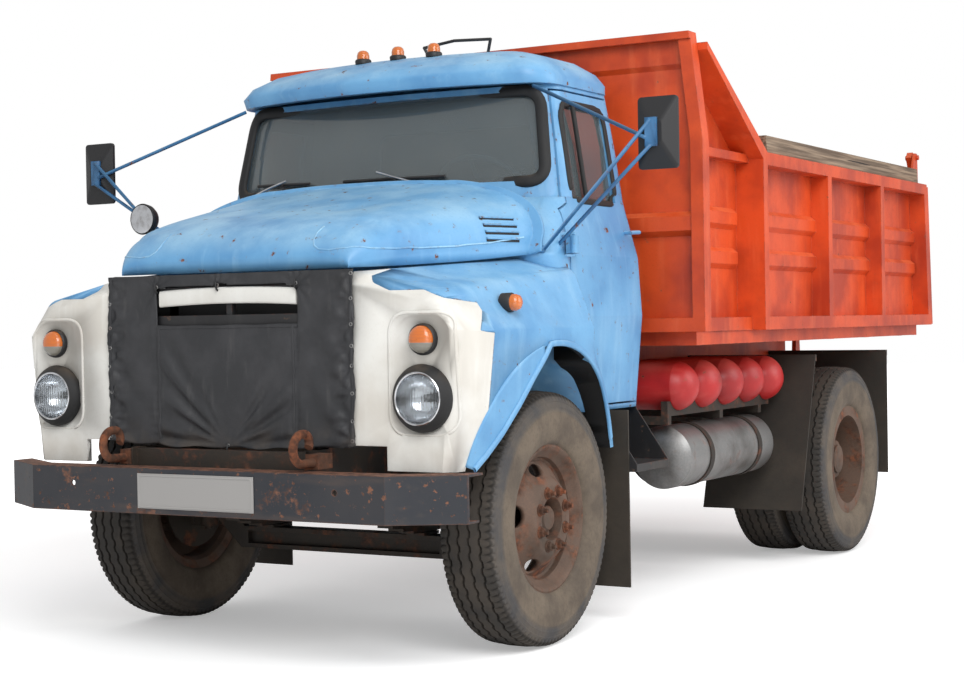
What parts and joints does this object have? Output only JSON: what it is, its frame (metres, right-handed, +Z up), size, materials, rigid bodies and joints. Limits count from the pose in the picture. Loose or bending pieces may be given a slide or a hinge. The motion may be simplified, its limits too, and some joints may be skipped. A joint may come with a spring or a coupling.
{
  "type": "dump truck",
  "caption": "Bonneted two-axle dump truck with a blue cab, steel tipping bed on a ladder frame, twin rear wheels, side-mounted gas cylinders and a cloth radiator cover.",
  "frame": {"origin": "on the ground below the middle of the truck's bounding box", "axes": "+X to the truck's left, +Y to its rear, +Z up"},
  "size_m": [3.096, 5.783, 2.6249],
  "materials": {
    "blue_paint": "faded light blue paint, chipped, with rust at the edges",
    "cream_paint": "off-white paint, scuffed and stained",
    "orange_paint": "faded orange paint with rust at seams and edges",
    "bumper_paint": "worn dark blue paint over rusty steel",
    "chassis_steel": "dark chassis paint under road dirt",
    "black_steel": "black paint, dull",
    "ram_paint": "grey paint, oily",
    "wheel_paint": "rusty brown paint",
    "red_paint": "red paint, dusty",
    "grey_steel": "weathered bare steel",
    "bright_steel": "polished rod",
    "spring_steel": "dark spring steel, rusty",
    "rusty_iron": "rusty forged iron",
    "cast_iron": "rough cast surface, oily",
    "tyre": "worn rubber with dust",
    "black_rubber": "dusty sheet rubber",
    "black_plastic": "dull",
    "pale_plastic": "aged, slightly glossy",
    "amber_plastic": "moulded lens",
    "lamp_glass": "clear lens over a bright reflector",
    "window_glass": "clear, dusty at the edges",
    "black_cloth": "quilted cloth",
    "seat_leather": "worn leathercloth",
    "weathered_wood": "grey-brown weathered boards"
  },
  "bodies": {
    "chassis": {"air_tank": "grey_steel", "bumper": "bumper_paint", "cab": "blue_paint", "cab_glass": "window_glass", "dashboard": "black_plastic", "engine": "cast_iron", "frame": "chassis_steel", "front_axle": "chassis_steel", "front_panels": "cream_paint", "gas_cylinders": "red_paint", "grille": "chassis_steel", "headlamps": "lamp_glass", "indicators": "amber_plastic", "mirror_arms": "blue_paint", "mirror_heads": "black_plastic", "mud_flaps": "black_rubber", "propshaft": "chassis_steel", "racks": "chassis_steel", "radiator_cover": "black_cloth", "rear_axle": "cast_iron", "roof": "blue_paint", "roof_bar": "black_steel", "roof_lamps": "amber_plastic", "seat": "seat_leather", "spot_lamp": "lamp_glass", "springs": "spring_steel", "steering_wheel": "pale_plastic", "steps": "black_steel", "subframe": "chassis_steel", "tow_hooks": "rusty_iron", "wings": "blue_paint", "wipers": "black_steel"},
    "bonnet": {"bonnet": "blue_paint"},
    "door_left": {"door_left": "blue_paint", "door_glass_left": "window_glass"},
    "door_right": {"door_right": "blue_paint", "door_glass_right": "window_glass"},
    "knuckle_left": {"knuckle_left": "cast_iron"},
    "knuckle_right": {"knuckle_right": "cast_iron"},
    "track_rod": {"track_rod": "chassis_steel"},
    "wheel_front_left": {"tyre_front_left": "tyre", "rim_front_left": "wheel_paint"},
    "wheel_front_right": {"tyre_front_right": "tyre", "rim_front_right": "wheel_paint"},
    "wheels_rear_left": {"tyres_rear_left": "tyre", "rims_rear_left": "wheel_paint"},
    "wheels_rear_right": {"tyres_rear_right": "tyre", "rims_rear_right": "wheel_paint"},
    "bed": {"bed_floor": "orange_paint", "bed_frame": "orange_paint", "bed_planks": "weathered_wood", "bed_sides": "orange_paint", "headboard": "orange_paint"},
    "tailgate": {"tailgate": "orange_paint"},
    "hoist_barrel": {"ram_barrel": "ram_paint"},
    "hoist_rod": {"ram_rod": "bright_steel"}
  },
  "joints": [
    {"name": "steer_left", "type": "hinge", "parent": "chassis", "child": "knuckle_left", "pos_m": [0.755, -1.862, 0.52], "axis": [0, 0, 1], "range_deg": [-32, 32]},
    {"name": "steer_right", "type": "hinge", "parent": "chassis", "child": "knuckle_right", "pos_m": [-0.755, -1.862, 0.52], "axis": [0, 0, 1], "range_deg": [-32, 32]},
    {"name": "track_rod_slide", "type": "slide", "parent": "chassis", "child": "track_rod", "axis": [1, 0, 0], "range_m": [-0.093, 0.093]},
    {"name": "spin_front_left", "type": "hinge", "parent": "knuckle_left", "child": "wheel_front_left", "pos_m": [0.9, -1.862, 0.52], "axis": [1, 0, 0], "continuous": true},
    {"name": "spin_front_right", "type": "hinge", "parent": "knuckle_right", "child": "wheel_front_right", "pos_m": [-0.9, -1.862, 0.52], "axis": [1, 0, 0], "continuous": true},
    {"name": "spin_rear_left", "type": "hinge", "parent": "chassis", "child": "wheels_rear_left", "pos_m": [0.895, 1.438, 0.52], "axis": [1, 0, 0], "continuous": true},
    {"name": "spin_rear_right", "type": "hinge", "parent": "chassis", "child": "wheels_rear_right", "pos_m": [-0.895, 1.438, 0.52], "axis": [1, 0, 0], "continuous": true},
    {"name": "door_left_open", "type": "hinge", "parent": "chassis", "child": "door_left", "pos_m": [1.002, -1.606, 1.5], "axis": [0, 0, -1], "range_deg": [0, 68]},
    {"name": "door_right_open", "type": "hinge", "parent": "chassis", "child": "door_right", "pos_m": [-1.002, -1.606, 1.5], "axis": [0, 0, 1], "range_deg": [0, 68]},
    {"name": "bonnet_open", "type": "hinge", "parent": "chassis", "child": "bonnet", "pos_m": [0, -1.69, 1.958], "axis": [-1, 0, 0], "range_deg": [0, 46]},
    {"name": "bed_tip", "type": "hinge", "parent": "chassis", "child": "bed", "pos_m": [0, 2.428, 1.06], "axis": [-1, 0, 0], "range_deg": [0, 50]},
    {"name": "hoist_swing", "type": "hinge", "parent": "chassis", "child": "hoist_barrel", "pos_m": [0, 0.588, 0.725], "axis": [1, 0, 0], "range_deg": [0, 13.02]},
    {"name": "hoist_extend", "type": "slide", "parent": "hoist_barrel", "child": "hoist_rod", "axis": [0, 0.9351, 0.3545], "range_m": [0, 0.541]},
    {"name": "tailgate_open", "type": "hinge", "parent": "bed", "child": "tailgate", "pos_m": [0, 2.726, 2.3], "axis": [1, 0, 0], "range_deg": [0, 85]}
  ],
  "couplings": [
    {"joint": "steer_right", "follows": "steer_left", "ratio": 1},
    {"joint": "track_rod_slide", "follows": "steer_left", "m_per_rad": -0.165},
    {"joint": "hoist_swing", "follows": "bed_tip", "ratio": 0.2603},
    {"joint": "hoist_extend", "follows": "bed_tip", "m_per_rad": 0.6194}
  ]
}
